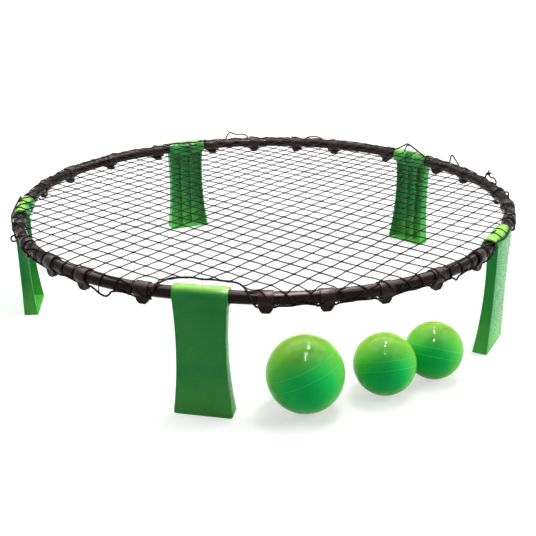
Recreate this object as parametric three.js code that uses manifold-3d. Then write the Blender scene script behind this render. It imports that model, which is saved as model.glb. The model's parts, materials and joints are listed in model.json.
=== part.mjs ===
// Roundnet set: a ring of five plugged rim tubes on five fold-in legs, a net stretched over it by an
// edge cord that catches under twenty-five hook collars, and three hollow balls on the ground in front.
// Millimetres, +Z up. The origin is on the ground, under the centre of the ring.

import * as THREE from 'three';
import { mergeGeometries, mergeVertices } from 'three/addons/utils/BufferGeometryUtils.js';
import Module from 'manifold-3d';

const wasm = await Module();
wasm.setup();

// ---- Driving dimensions ----------------------------------------------------------------------------

// Rim: one tube between each two legs, straight where it enters a leg and an arc between.
const LEG_COUNT = 5;
const FIRST_LEG_AZIMUTH = 270;       // degrees from +X towards +Y
const RIM_RADIUS = 450;              // tube centre, mean of its distance at a leg and between two legs
const RIM_HEIGHT = 194;              // tube centre above the ground
const RIM_STRAIGHT = 25;             // straight run on each side of a joint
const TUBE_DIAMETER = 20;
const TUBE_WALL = 2.5;
const TUBE_SIDES = 12;
const BORE_SIDES = 8;
const JOINT_GAP = 0.3;               // between the end faces of two tubes
const SPIGOT_LENGTH = 22;
const SPIGOT_PLUG = 8;               // length of the spigot's root inside its own tube
const SPIGOT_CLEARANCE = 0.3;

// Hook collars: a sleeve on the tube with a J-shaped tab below it, its mouth towards the middle.
// They slide, so each has its own place: a share of the way from its tube's middle to the joint.
const HOOK_PLACES = {
  front_right: [-0.67, -0.363, -0.046, 0.293, 0.674],
  right: [-0.635, -0.342, -0.049, 0.462, 0.762],
  back: [-0.741, -0.272, 0.053, 0.409, 0.762],
  left: [-0.762, -0.328, 0.106, 0.476, 0.758],
  front_left: [-0.677, -0.335, 0.018, 0.3, 0.684],
};
const HOOK_MARGIN = 2;               // straight tube beyond each end of a sleeve
const TUBE_STEP = 60;                // about the length of a tube's other straight steps
const SLEEVE_LENGTH = 22;
const SLEEVE_WALL = 1.5;
const SLEEVE_CLEARANCE = 0.3;
const HOOK_DROP = 12;                // below the underside of the tube
const HOOK_SET_OUT = 1.5;            // middle of the crook, outwards from the tube centre
const HOOK_TIP_WIDTH = 12;
const HOOK_SHOULDER = 5;             // height of the tab's shoulders above its tip
const HOOK_WALL = 3;
const HOOK_FLOOR = 2.5;
const HOOK_LIP = 2.2;
const HOOK_LIP_HEIGHT = 5.5;
const HOOK_CHAMFER = 2;

// Edge cord and net.
const EDGE_CORD = 3;
const CROOK_CLEARANCE = 0.4;         // cord to each side of the crook
const CORD_SIDES = 5;
const LAY_GAP = 0.3;                 // between a soft piece and what it lies on
const NET_CORD = 2;
const NET_MESH = 28;                 // side of one mesh
const NET_STEP = 2;                  // the solid keeps every second cord
const NET_TURN = 63;                 // degrees, direction square to one family of cords
const NET_BORDER = 3;
const NET_OUTLINE_STEPS = 10;        // along each tube
const NET_KNUCKLE_GAP = 1;

// Legs: a channel section, open towards the middle, that turns on the tube by a slotted knuckle.
const KNUCKLE_CLEARANCE = 0.3;
const KNUCKLE_WALL = 3.9;
const KNUCKLE_SLOT = 19;             // groove between the two lobes of the knuckle
const KNUCKLE_SKIN = 1.4;            // what the groove leaves round the tube
const KNUCKLE_SIDES = 20;
const LEG_TOP_WIDTH = 83;
const LEG_WAIST_WIDTH = 76;
const LEG_FOOT_WIDTH = 93;
const LEG_WAIST_HEIGHT = 118;        // above the ground
const LEG_WALL = 3;
const LEG_TOP_DEPTH = 18.5;
const LEG_WAIST_DEPTH = 17;
const LEG_FOOT_DEPTH = 25.6;
const LEG_SOLE = 3.5;
const LEG_CORNER = 5;
const LEG_CORNER_STEPS = 3;
const LEG_FRONT_STEPS = 6;
const LEG_SIDE_STEPS = 5;
const LEG_RIBS = 2;
const LEG_RIB_WALL = 2.4;
const LEG_RIB_DEPTH = 8;

// Balls: hollow shells with a valve, in a row beside the front leg. Each stands next to the one before.
const BALL_DIAMETERS = [120, 99, 94];
const BALL_WALL = 3;
const BALL_SEGMENTS = 16;
const BALL_RINGS = 12;
const FIRST_BALL_RADIUS = 435;       // from the centre of the ring
const FIRST_BALL_AZIMUTH = 289.7;
const BALL_GAPS = [26, 2];
const BALL_HEADINGS = [32.8, 41.3];  // degrees, from one ball to the next
const VALVE_DIAMETER = 6;
const VALVE_SIDES = 8;
const VALVE_CLEARANCE = 0.3;
const VALVE_RECESS = 0.4;
const VALVE_TILT = 52;               // degrees below the horizon
const VALVE_AZIMUTHS = [262, 292, 312];

const CUT_OVERSHOOT = 1;             // how far a cutting solid stands past the face that it cuts

// ---- Sizes that follow -----------------------------------------------------------------------------

const radians = THREE.MathUtils.degToRad;
const legStep = 360 / LEG_COUNT;
const halfStep = radians(legStep / 2);
const tubeRadius = TUBE_DIAMETER / 2;
const arcOffset = RIM_STRAIGHT / Math.sin(halfStep);
const legInset = arcOffset * Math.cos(halfStep);
const legRadius = RIM_RADIUS - (arcOffset - legInset) / 2;
const arcRadius = legRadius - legInset;
const halfTubeRun = arcRadius * halfStep + RIM_STRAIGHT;

const hookFlat = SLEEVE_LENGTH + 2 * HOOK_MARGIN;
const hookRadius = arcRadius * Math.cos(hookFlat / 2 / arcRadius);
const sleeveBore = tubeRadius + SLEEVE_CLEARANCE;
const sleeveRadius = sleeveBore + SLEEVE_WALL;
const crookWidth = EDGE_CORD + 2 * CROOK_CLEARANCE;
const hookBottom = -tubeRadius - HOOK_DROP;
const cordInCrook = -sleeveRadius - LAY_GAP - EDGE_CORD / 2;

const netBottom = sleeveRadius + LAY_GAP;
// The tube already bends a little inside the ends of a knuckle, and the straight bore leaves room for it.
const bentRun = Math.max(LEG_TOP_WIDTH / 2 - RIM_STRAIGHT, 0);
const bend = arcRadius * (1 - Math.cos(bentRun / arcRadius));
const knuckleBore = tubeRadius + bend + KNUCKLE_CLEARANCE;
const knuckleRadius = knuckleBore + KNUCKLE_WALL;

const colours = {
  rim: new THREE.MeshStandardMaterial({ color: 0x1b1518, roughness: 0.3, metalness: 0 }),
  collar: new THREE.MeshStandardMaterial({ color: 0x2a2023, roughness: 0.5, metalness: 0 }),
  cord: new THREE.MeshStandardMaterial({ color: 0x151214, roughness: 0.9, metalness: 0 }),
  leg: new THREE.MeshStandardMaterial({ color: 0x2f9e44, roughness: 0.45, metalness: 0 }),
  ball: new THREE.MeshStandardMaterial({ color: 0x3dbb3f, roughness: 0.2, metalness: 0 }),
  valve: new THREE.MeshStandardMaterial({ color: 0x14702f, roughness: 0.6, metalness: 0 }),
};

// ---- Solids ----------------------------------------------------------------------------------------

// A closed geometry becomes a solid that can be joined and cut, and a solid becomes a geometry again.
function solidOf(geometry) {
  const bare = geometry.clone();
  bare.deleteAttribute('normal');
  bare.deleteAttribute('uv');
  const merged = mergeVertices(bare);
  const vertProperties = new Float32Array(merged.attributes.position.array);
  const triVerts = new Uint32Array(merged.index.array);
  return new wasm.Manifold(new wasm.Mesh({ numProp: 3, vertProperties, triVerts }));
}

function geometryOf(solid) {
  const mesh = solid.getMesh();
  const geometry = new THREE.BufferGeometry();
  geometry.setAttribute('position', new THREE.BufferAttribute(new Float32Array(mesh.vertProperties), 3));
  geometry.setIndex(new THREE.BufferAttribute(new Uint32Array(mesh.triVerts), 1));
  geometry.computeVertexNormals();
  return geometry;
}

// A regular section with flats on its top, bottom and sides, `radius` at its corners.
function polygon(radius, sides) {
  const corners = [];
  for (let k = 0; k < sides; k += 1) {
    const angle = ((k + 0.5) * 2 * Math.PI) / sides;
    corners.push(new THREE.Vector2(radius * Math.cos(angle), radius * Math.sin(angle)));
  }
  return corners;
}

// A prism of an outline, with its hole if it has one, from z = 0 up to `height`.
function prism(outline, height, hole) {
  const shape = new THREE.Shape(outline);
  if (hole) {
    shape.holes.push(new THREE.Path(hole));
  }
  return new THREE.ExtrudeGeometry(shape, { depth: height, bevelEnabled: false });
}

// In the frame of a leg or a collar X runs along the tube, Y points outwards and Z up.
// A side outline is drawn in (Y, Z) and runs along X, a front outline is drawn in (X, Z) and runs along Y.
const sideBasis = new THREE.Matrix4().makeBasis(
  new THREE.Vector3(0, 1, 0), new THREE.Vector3(0, 0, 1), new THREE.Vector3(1, 0, 0));
const frontBasis = new THREE.Matrix4().makeBasis(
  new THREE.Vector3(1, 0, 0), new THREE.Vector3(0, 0, 1), new THREE.Vector3(0, -1, 0));

function alongTube(outline, length, hole) {
  return prism(outline, length, hole).translate(0, 0, -length / 2).applyMatrix4(sideBasis);
}

function fromTheFront(outline, innerY, outerY) {
  return prism(outline, outerY - innerY).translate(0, 0, -outerY).applyMatrix4(frontBasis);
}

// A path of straight stretches whose corners are kept, for a tube that is swept along it.
class CornerPath extends THREE.Curve {
  constructor(corners) {
    super();
    this.corners = corners;
  }

  getPoint(t, target = new THREE.Vector3()) {
    const place = t * (this.corners.length - 1);
    const index = Math.min(Math.floor(place + 1e-9), this.corners.length - 2);
    return target.copy(this.corners[index]).lerp(this.corners[index + 1], place - index);
  }

  getUtoTmapping(u) {
    return u;
  }
}

function sweep(section, corners, hole) {
  const shape = new THREE.Shape(section);
  if (hole) {
    shape.holes.push(new THREE.Path(hole));
  }
  const extrudePath = new CornerPath(corners);
  return new THREE.ExtrudeGeometry(shape, { steps: corners.length - 1, extrudePath });
}

const root = new THREE.Group();
root.name = 'roundnet_set';

function place(name, geometry, material, parent) {
  const mesh = new THREE.Mesh(geometry, material);
  mesh.name = name;
  parent.add(mesh);
  return mesh;
}

// ---- Places on the rim -----------------------------------------------------------------------------

const legNames = ['front', 'right', 'back_right', 'back_left', 'left'];
const tubeNames = ['front_right', 'right', 'back', 'left', 'front_left'];
const hookPlaces = tubeNames.map((name) => HOOK_PLACES[name].map((share) => share * halfTubeRun));

function legAzimuth(index) {
  return radians(FIRST_LEG_AZIMUTH + legStep * index);
}

function tubeAzimuth(index) {
  return radians(FIRST_LEG_AZIMUTH + legStep * (index + 0.5));
}

// A frame on the centre line of a tube, `along` from its middle, in the tube's own turned frame.
// `radius` is that of the arc, which a faceted tube touches at its corners only.
function rimFrame(along, radius = arcRadius) {
  const limit = arcRadius * halfStep;
  const angle = THREE.MathUtils.clamp(along, -limit, limit) / arcRadius;
  const outwards = new THREE.Vector3(Math.cos(angle), Math.sin(angle), 0);
  const forwards = new THREE.Vector3(-Math.sin(angle), Math.cos(angle), 0);
  const spot = new THREE.Vector3(arcOffset, 0, RIM_HEIGHT).addScaledVector(outwards, radius);
  spot.addScaledVector(forwards, along - angle * arcRadius);
  return { outwards, forwards, spot, angle };
}

// The point beside the rim that lies `out` and `up` from the tube centre, in the frame of the whole set.
function besideRim(tube, along, out, up, radius = arcRadius) {
  const frame = rimFrame(along, radius);
  const point = frame.spot.addScaledVector(frame.outwards, out);
  point.z += up;
  return point.applyAxisAngle(new THREE.Vector3(0, 0, 1), tubeAzimuth(tube));
}

// ---- Rim tubes -------------------------------------------------------------------------------------

// Corners of the tube's centre line. A collar sits on the middle of a straight step, and the bend
// inside a knuckle has a step of its own.
function tubeCorners(places) {
  const ends = halfTubeRun - JOINT_GAP / 2;
  const arcEnd = arcRadius * halfStep;
  const flats = places.flatMap((along) => [along - hookFlat / 2, along + hookFlat / 2]);
  const stops = [-ends, -arcEnd, bentRun - arcEnd, ...flats, arcEnd - bentRun, arcEnd, ends];
  const corners = [];
  stops.forEach((stop, index) => {
    const gap = index > 0 ? stop - stops[index - 1] : 0;
    const steps = Math.max(Math.round(gap / TUBE_STEP), 1);
    for (let k = steps - 1; k >= 0; k -= 1) {
      corners.push(rimFrame(stop - (gap * k) / steps).spot);
    }
  });
  return corners;
}

// The far end carries a spigot that fills the bore at its root and enters the next tube's open end.
function rimTubeGeometry(places) {
  const bore = tubeRadius - TUBE_WALL;
  const tube = sweep(polygon(tubeRadius, TUBE_SIDES), tubeCorners(places), polygon(bore, BORE_SIDES));
  const end = rimFrame(halfTubeRun - JOINT_GAP / 2);
  const turnToEnd = new THREE.Matrix4().makeBasis(
    end.outwards, new THREE.Vector3(0, 0, 1), end.forwards.clone().negate()).setPosition(end.spot);
  const rootRadius = bore + TUBE_WALL / 2;
  const plug = prism(polygon(rootRadius, BORE_SIDES), SPIGOT_PLUG).translate(0, 0, JOINT_GAP);
  const spigot = prism(polygon(bore - SPIGOT_CLEARANCE, BORE_SIDES), SPIGOT_LENGTH + SPIGOT_PLUG)
    .translate(0, 0, -SPIGOT_LENGTH);
  return geometryOf(solidOf(tube)
    .add(solidOf(plug.applyMatrix4(turnToEnd)))
    .add(solidOf(spigot.applyMatrix4(turnToEnd))));
}

tubeNames.forEach((name, index) => {
  const mesh = place(`rim_tube_${name}`, rimTubeGeometry(hookPlaces[index]), colours.rim, root);
  mesh.rotation.z = tubeAzimuth(index);
});

// ---- Hook collars ----------------------------------------------------------------------------------

function hookGeometry() {
  const wallInner = HOOK_SET_OUT + crookWidth / 2;
  const wallOuter = wallInner + HOOK_WALL;
  const lipOuter = HOOK_SET_OUT - crookWidth / 2;
  const lipInner = lipOuter - HOOK_LIP;
  const lipTop = hookBottom + HOOK_LIP_HEIGHT;
  const side = [
    [wallOuter, -sleeveBore / 2], [wallInner, -sleeveBore / 2], [wallInner, hookBottom + HOOK_FLOOR],
    [lipOuter, hookBottom + HOOK_FLOOR], [lipOuter, lipTop], [lipInner, lipTop],
    [lipInner, hookBottom + HOOK_CHAMFER], [lipInner + HOOK_CHAMFER, hookBottom],
    [wallOuter - HOOK_CHAMFER, hookBottom], [wallOuter, hookBottom + HOOK_CHAMFER],
  ].map(([y, z]) => new THREE.Vector2(y, z));
  const rootHalf = SLEEVE_LENGTH / 2;
  const tipHalf = HOOK_TIP_WIDTH / 2;
  const shoulderHalf = (rootHalf + tipHalf) / 2;
  const shoulder = hookBottom + HOOK_SHOULDER;
  const front = [
    [-rootHalf, 0], [-rootHalf, -sleeveRadius], [-shoulderHalf, shoulder], [-tipHalf, hookBottom],
    [tipHalf, hookBottom], [shoulderHalf, shoulder], [rootHalf, -sleeveRadius], [rootHalf, 0],
  ].map(([x, z]) => new THREE.Vector2(x, z));
  const past = SLEEVE_LENGTH + 2 * CUT_OVERSHOOT;
  const tab = solidOf(alongTube(side, past))
    .intersect(solidOf(fromTheFront(front, lipInner - CUT_OVERSHOOT, wallOuter + CUT_OVERSHOOT)));
  const sleeve = solidOf(alongTube(polygon(sleeveRadius, TUBE_SIDES), SLEEVE_LENGTH));
  const bore = solidOf(alongTube(polygon(sleeveBore, TUBE_SIDES), past));
  return geometryOf(sleeve.add(tab).subtract(bore));
}

const hook = hookGeometry();
tubeNames.forEach((name, tube) => {
  hookPlaces[tube].forEach((along, index) => {
    const mesh = place(`net_hook_${name}_${index + 1}`, hook, colours.collar, root);
    mesh.position.copy(besideRim(tube, along, 0, 0, hookRadius));
    mesh.rotation.z = tubeAzimuth(tube) + rimFrame(along).angle - Math.PI / 2;
  });
});

// ---- Net -------------------------------------------------------------------------------------------

// The round outline of the net, `out` from the tube centre, with a notch round each leg's knuckle.
function netOutline(out, notchOut, notchHalf) {
  const outline = [];
  for (let tube = 0; tube < LEG_COUNT; tube += 1) {
    const reach = halfTubeRun - notchHalf;
    outline.push(besideRim(tube, -reach, notchOut, 0));
    for (let k = 0; k <= NET_OUTLINE_STEPS; k += 1) {
      outline.push(besideRim(tube, THREE.MathUtils.lerp(-reach, reach, k / NET_OUTLINE_STEPS), out, 0));
    }
    outline.push(besideRim(tube, reach, notchOut, 0));
  }
  return outline.map((point) => new THREE.Vector2(point.x, point.y));
}

function netGeometry() {
  const pitch = NET_MESH * NET_STEP;
  const notchOut = -knuckleRadius - NET_KNUCKLE_GAP;
  const notchHalf = LEG_TOP_WIDTH / 2 + NET_KNUCKLE_GAP;
  const outer = netOutline(NET_BORDER / 2, notchOut, notchHalf);
  const inner = netOutline(-NET_BORDER / 2, notchOut - NET_BORDER, notchHalf + NET_BORDER);
  const cell = new THREE.BoxGeometry(pitch - NET_CORD, pitch - NET_CORD, 3 * NET_CORD);
  const cells = [];
  const reach = Math.ceil(RIM_RADIUS / pitch);
  for (let row = -reach; row <= reach; row += 1) {
    for (let column = -reach; column <= reach; column += 1) {
      const distance = Math.hypot(row, column) * pitch;
      if (distance < RIM_RADIUS + pitch / 4) {
        cells.push(cell.clone().translate(column * pitch, row * pitch, NET_CORD / 2));
      }
    }
  }
  const turned = mergeGeometries(cells).rotateZ(radians(NET_TURN));
  const inside = prism(inner, 4 * NET_CORD).translate(0, 0, -NET_CORD);
  const gaps = solidOf(turned).intersect(solidOf(inside));
  return geometryOf(solidOf(prism(outer, NET_CORD)).subtract(gaps));
}

const net = place('net', netGeometry(), colours.cord, root);
net.position.z = RIM_HEIGHT + netBottom;

// ---- Edge cord -------------------------------------------------------------------------------------

// The cord runs under the tube from crook to crook. At a leg it climbs round the tube, passes behind the
// knuckle on top of the net, and goes down again. Each row holds the share of the way from KNUCKLE_PASS
// to the last collar, where the cord lies out from the tube centre, and up from it.
const KNUCKLE_PASS = 45;             // from the joint, where the cord leaves the tube for the knuckle
const CLIMB_START = 15.6;            // from the middle of the last collar
const climbRoute = [[1, 6.6, -12.4], [0.69, 13, -4.5], [0.45, 12.6, 8.5], [0.24, 2.5, 17.2], [0, -12, 17]];
const BEHIND_KNUCKLE = [26, -20, 16];
// The knot stands outside the tube between two collars, and its tail points up from it.
const KNOT_TUBE = 1;
const KNOT_AFTER_HOOK = 2;
const KNOT_RADIUS = 3.6;
const KNOT_SLIT = 1;                 // half the space between the two ends inside the knot
const knotRoute = [[0, 12, 20], [13, 14, 4], [24, 10, -8]];
const tailRoute = [[0, 0, 0], [4, 2, 6], [2, 3, 11]];

function edgeCordGeometry() {
  const belowRadius = tubeRadius + LAY_GAP + EDGE_CORD / 2;
  const belowOut = belowRadius * Math.cos(radians(60));
  const belowUp = -belowRadius * Math.sin(radians(60));
  const pass = SLEEVE_LENGTH / 2 + EDGE_CORD / 2;
  const corners = [];
  const crossHook = (tube, along) => {
    const forwards = rimFrame(along).forwards.applyAxisAngle(new THREE.Vector3(0, 0, 1), tubeAzimuth(tube));
    [-pass, pass].forEach((side) => {
      const crook = besideRim(tube, along, HOOK_SET_OUT, cordInCrook, hookRadius);
      corners.push(crook.addScaledVector(forwards, side));
    });
  };
  const crossHooks = (tube, places) => {
    places.forEach((along, index) => {
      if (index > 0) {
        corners.push(besideRim(tube, (places[index - 1] + along) / 2, belowOut, belowUp));
      }
      crossHook(tube, along);
    });
  };
  // From the last collar of one tube over the leg to the first collar of the next.
  const crossLeg = (before, after) => {
    const climb = (hookDistance) => {
      const reach = hookDistance - CLIMB_START - KNUCKLE_PASS;
      const rows = climbRoute.map(([share, out, up]) => [KNUCKLE_PASS + share * reach, out, up]);
      return [...rows, BEHIND_KNUCKLE];
    };
    climb(halfTubeRun - hookPlaces[before].at(-1)).forEach(([distance, out, up]) => {
      corners.push(besideRim(before, halfTubeRun - distance, out, up));
    });
    climb(halfTubeRun + hookPlaces[after][0]).reverse().forEach(([distance, out, up]) => {
      corners.push(besideRim(after, distance - halfTubeRun, out, up));
    });
  };

  const knotPlaces = hookPlaces[KNOT_TUBE];
  const knotAlong = (knotPlaces[KNOT_AFTER_HOOK] + knotPlaces[KNOT_AFTER_HOOK + 1]) / 2;
  const besideKnot = (along, out, up) => besideRim(KNOT_TUBE, knotAlong + along, out, up);
  knotRoute.forEach(([along, out, up]) => corners.push(besideKnot(along + KNOT_SLIT, out, up)));
  crossHooks(KNOT_TUBE, knotPlaces.slice(KNOT_AFTER_HOOK + 1));
  for (let k = 1; k < LEG_COUNT; k += 1) {
    const tube = (KNOT_TUBE + k) % LEG_COUNT;
    crossLeg((tube + LEG_COUNT - 1) % LEG_COUNT, tube);
    crossHooks(tube, hookPlaces[tube]);
  }
  crossLeg((KNOT_TUBE + LEG_COUNT - 1) % LEG_COUNT, KNOT_TUBE);
  crossHooks(KNOT_TUBE, knotPlaces.slice(0, KNOT_AFTER_HOOK + 1));
  [...knotRoute].reverse().forEach(([along, out, up]) => {
    corners.push(besideKnot(-along - KNOT_SLIT, out, up));
  });

  const section = polygon(EDGE_CORD / 2, CORD_SIDES);
  const [, knotOut, knotUp] = knotRoute[0];
  const knotCentre = besideKnot(0, knotOut, knotUp);
  const knot = new THREE.IcosahedronGeometry(KNOT_RADIUS, 1).translate(...knotCentre.toArray());
  const tail = sweep(section, tailRoute.map(([along, out, up]) => (
    besideKnot(along, knotOut + out, knotUp + up))));
  return geometryOf(solidOf(sweep(section, corners)).add(solidOf(knot)).add(solidOf(tail)));
}

place('edge_cord', edgeCordGeometry(), colours.cord, root);

// ---- Legs ------------------------------------------------------------------------------------------

// A smooth curve through the value at the top, at the waist and at the foot of a leg.
function overLeg(top, waist, foot, height) {
  const t = (RIM_HEIGHT - height) / RIM_HEIGHT;
  const w = (RIM_HEIGHT - LEG_WAIST_HEIGHT) / RIM_HEIGHT;
  return top * ((t - w) * (t - 1)) / w
    + waist * (t * (t - 1)) / (w * (w - 1))
    + foot * (t * (t - w)) / (1 - w);
}

function legFront(inset) {
  const half = (height) => overLeg(LEG_TOP_WIDTH, LEG_WAIST_WIDTH, LEG_FOOT_WIDTH, height) / 2 - inset;
  const corner = Math.max(LEG_CORNER - inset, LEG_CORNER / 4);
  const bottom = inset > 0 ? LEG_SOLE : 0;
  const top = inset > 0 ? RIM_HEIGHT - knuckleRadius - LEG_WALL : RIM_HEIGHT;
  const right = [];
  for (let k = 0; k <= LEG_CORNER_STEPS; k += 1) {
    const angle = (k / LEG_CORNER_STEPS) * (Math.PI / 2);
    const side = half(bottom + corner) - corner * (1 - Math.sin(angle));
    right.push([side, bottom + corner * (1 - Math.cos(angle))]);
  }
  for (let k = 1; k <= LEG_FRONT_STEPS; k += 1) {
    const height = THREE.MathUtils.lerp(bottom + corner, top, k / LEG_FRONT_STEPS);
    right.push([half(height), height]);
  }
  const left = right.map(([x, z]) => [-x, z]).reverse();
  return [...right, ...left].map(([x, z]) => new THREE.Vector2(x, z - RIM_HEIGHT));
}

function legSide() {
  const outer = knuckleRadius;
  const outline = [[outer, -RIM_HEIGHT]];
  outline.push([outer, 0], [outer - LEG_TOP_DEPTH, 0]);
  for (let k = 1; k <= LEG_SIDE_STEPS; k += 1) {
    const height = RIM_HEIGHT * (1 - k / LEG_SIDE_STEPS);
    const depth = overLeg(LEG_TOP_DEPTH, LEG_WAIST_DEPTH, LEG_FOOT_DEPTH, height);
    outline.push([outer - depth, height - RIM_HEIGHT]);
  }
  return outline.map(([y, z]) => new THREE.Vector2(y, z));
}

function legGeometry() {
  const reach = LEG_FOOT_WIDTH + LEG_TOP_WIDTH;
  const innerFace = knuckleRadius - LEG_WALL;
  const outside = 1 / Math.cos(Math.PI / KNUCKLE_SIDES); // from the flats of the knuckle to its corners
  const shell = solidOf(alongTube(legSide(), reach))
    .intersect(solidOf(fromTheFront(legFront(0), -LEG_FOOT_DEPTH, knuckleRadius + CUT_OVERSHOOT)));
  const knuckle = solidOf(alongTube(polygon(knuckleRadius * outside, KNUCKLE_SIDES), LEG_TOP_WIDTH));
  const channel = solidOf(fromTheFront(legFront(LEG_WALL), -LEG_FOOT_DEPTH - CUT_OVERSHOOT, innerFace));
  const bore = solidOf(alongTube(polygon(knuckleBore * outside, KNUCKLE_SIDES), reach));
  const core = solidOf(alongTube(polygon(knuckleBore + KNUCKLE_SKIN, KNUCKLE_SIDES), reach));
  const slot = solidOf(new THREE.BoxGeometry(KNUCKLE_SLOT, 2 * knuckleRadius, 4 * knuckleRadius)
    .translate(0, -knuckleRadius, knuckleRadius)).subtract(core);
  let leg = shell.subtract(channel).add(knuckle).subtract(slot).subtract(bore);
  for (let k = 0; k < LEG_RIBS; k += 1) {
    const share = (k + 1) / (LEG_RIBS + 1) - 0.5;
    const x = share * (LEG_WAIST_WIDTH - 2 * LEG_WALL);
    const top = -knuckleRadius - LEG_WALL / 2;
    const bottom = -RIM_HEIGHT + LEG_SOLE / 2;
    const rib = new THREE.BoxGeometry(LEG_RIB_WALL, LEG_RIB_DEPTH + LEG_WALL / 2, top - bottom);
    rib.translate(x, innerFace + (LEG_WALL / 2 - LEG_RIB_DEPTH) / 2, (top + bottom) / 2);
    leg = leg.add(solidOf(rib));
  }
  return geometryOf(leg);
}

const leg = legGeometry();
legNames.forEach((name, index) => {
  const azimuth = legAzimuth(index);
  const mesh = place(`leg_${name}`, leg, colours.leg, root);
  mesh.position.set(legRadius * Math.cos(azimuth), legRadius * Math.sin(azimuth), RIM_HEIGHT);
  mesh.rotation.z = azimuth - Math.PI / 2;
});

// ---- Balls -----------------------------------------------------------------------------------------

// Two spheres on the ground with `gap` between them stand this far apart, measured along the ground.
function groundDistance(radiusA, radiusB, gap) {
  return Math.sqrt((radiusA + radiusB + gap) ** 2 - (radiusA - radiusB) ** 2);
}

function ballCentres() {
  const start = radians(FIRST_BALL_AZIMUTH);
  const spot = new THREE.Vector3(FIRST_BALL_RADIUS * Math.cos(start), FIRST_BALL_RADIUS * Math.sin(start), 0);
  return BALL_DIAMETERS.map((diameter, index) => {
    if (index > 0) {
      const distance = groundDistance(diameter / 2, BALL_DIAMETERS[index - 1] / 2, BALL_GAPS[index - 1]);
      const heading = radians(BALL_HEADINGS[index - 1]);
      spot.x += distance * Math.cos(heading);
      spot.y += distance * Math.sin(heading);
    }
    return new THREE.Vector3(spot.x, spot.y, diameter / 2);
  });
}

// Both pieces are made with the valve's axis along +X.
function ballGeometry(diameter, turn) {
  const radius = diameter / 2;
  const outer = new THREE.SphereGeometry(radius, BALL_SEGMENTS, BALL_RINGS).rotateX(Math.PI / 2);
  const inner = new THREE.SphereGeometry(radius - BALL_WALL, BALL_RINGS, BALL_RINGS / 2).rotateX(Math.PI / 2);
  const bore = new THREE.CylinderGeometry(VALVE_DIAMETER / 2, VALVE_DIAMETER / 2, radius, VALVE_SIDES)
    .translate(0, radius, 0).rotateZ(-Math.PI / 2).applyQuaternion(turn);
  return geometryOf(solidOf(outer).subtract(solidOf(inner)).subtract(solidOf(bore)));
}

function valveGeometry(diameter, turn) {
  const radius = VALVE_DIAMETER / 2 - VALVE_CLEARANCE;
  const length = BALL_WALL + VALVE_DIAMETER / 2;
  return new THREE.CylinderGeometry(radius, radius, length, VALVE_SIDES)
    .translate(0, diameter / 2 - VALVE_RECESS - length / 2, 0).rotateZ(-Math.PI / 2).applyQuaternion(turn);
}

ballCentres().forEach((centre, index) => {
  const diameter = BALL_DIAMETERS[index];
  const turn = new THREE.Quaternion().setFromEuler(
    new THREE.Euler(0, radians(VALVE_TILT), radians(VALVE_AZIMUTHS[index]), 'ZYX'));
  const ball = new THREE.Group();
  ball.position.copy(centre);
  root.add(ball);
  place(`ball_${index + 1}`, ballGeometry(diameter, turn), colours.ball, ball);
  place(`ball_${index + 1}_valve`, valveGeometry(diameter, turn), colours.valve, ball);
});

export default root;
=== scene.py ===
import json
import math
import random

import bmesh
import bpy
import numpy as np
from mathutils import Matrix, Vector


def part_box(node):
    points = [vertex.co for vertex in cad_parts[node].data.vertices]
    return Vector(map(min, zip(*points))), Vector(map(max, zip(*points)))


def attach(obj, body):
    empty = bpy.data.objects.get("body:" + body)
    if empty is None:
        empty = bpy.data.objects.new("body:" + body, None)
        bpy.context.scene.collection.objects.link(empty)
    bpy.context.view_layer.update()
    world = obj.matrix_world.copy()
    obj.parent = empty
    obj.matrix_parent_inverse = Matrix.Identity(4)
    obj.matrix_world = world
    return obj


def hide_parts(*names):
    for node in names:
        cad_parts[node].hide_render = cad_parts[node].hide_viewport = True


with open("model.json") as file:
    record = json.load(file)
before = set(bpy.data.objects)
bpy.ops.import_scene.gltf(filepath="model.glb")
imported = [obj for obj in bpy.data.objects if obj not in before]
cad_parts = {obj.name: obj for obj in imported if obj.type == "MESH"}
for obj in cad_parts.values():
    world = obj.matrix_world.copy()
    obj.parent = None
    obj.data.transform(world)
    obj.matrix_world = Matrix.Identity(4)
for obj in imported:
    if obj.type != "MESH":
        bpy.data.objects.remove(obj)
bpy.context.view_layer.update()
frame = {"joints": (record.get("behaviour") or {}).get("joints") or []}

scene = bpy.context.scene


# ---- Camera ----------------------------------------------
# It stands in front of the set, a little to its right and 0.7 m above the ground, and looks down over
# the net. The set fills the width of the picture, with the balls on the near side.

CAMERA_PLACE = (0.3181, -1.5301, 0.6989)
CAMERA_TURN = math.radians(11.487)
CAMERA_TILT = math.radians(22.405)
CAMERA_ROLL = math.radians(-0.311)
LENS_LENGTH = 57.76  # millimetres, as the sensor's width
SENSOR_WIDTH = 36

camera_data = bpy.data.cameras.new("camera")
camera_data.lens = LENS_LENGTH
camera_data.sensor_width = SENSOR_WIDTH
camera = bpy.data.objects.new("camera", camera_data)
camera.matrix_world = (Matrix.Translation(CAMERA_PLACE)
                       @ Matrix.Rotation(CAMERA_TURN, 4, "Z")
                       @ Matrix.Rotation(math.pi / 2 - CAMERA_TILT, 4, "X")
                       @ Matrix.Rotation(CAMERA_ROLL, 4, "Z"))
scene.collection.objects.link(camera)
scene.camera = camera
scene.view_settings.view_transform = "Standard"


# ---- Edge cord -------------------------------------------
# One long black cord of three laid polyester strands, 3 mm thick. It is threaded through the border of
# the net and pulled under the tube through the crook of every collar. Its two ends meet in one knot.

CORD_RADIUS = 0.0015
CORD_STRANDS = 3
CORD_LAY = 0.009  # length of one turn of the strands
STRAND_SWELL = 0.16  # height of the strands' lobes, as a share of the radius
CORD_SIDES = 12
CORD_STEP = 0.0009
YARN_SLANT = math.radians(38)
CORD_YARN = 0.0009
CORD_DARK = (0.004, 0.0025, 0.0025)
CORD_PALE = (0.024, 0.015, 0.014)

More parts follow.
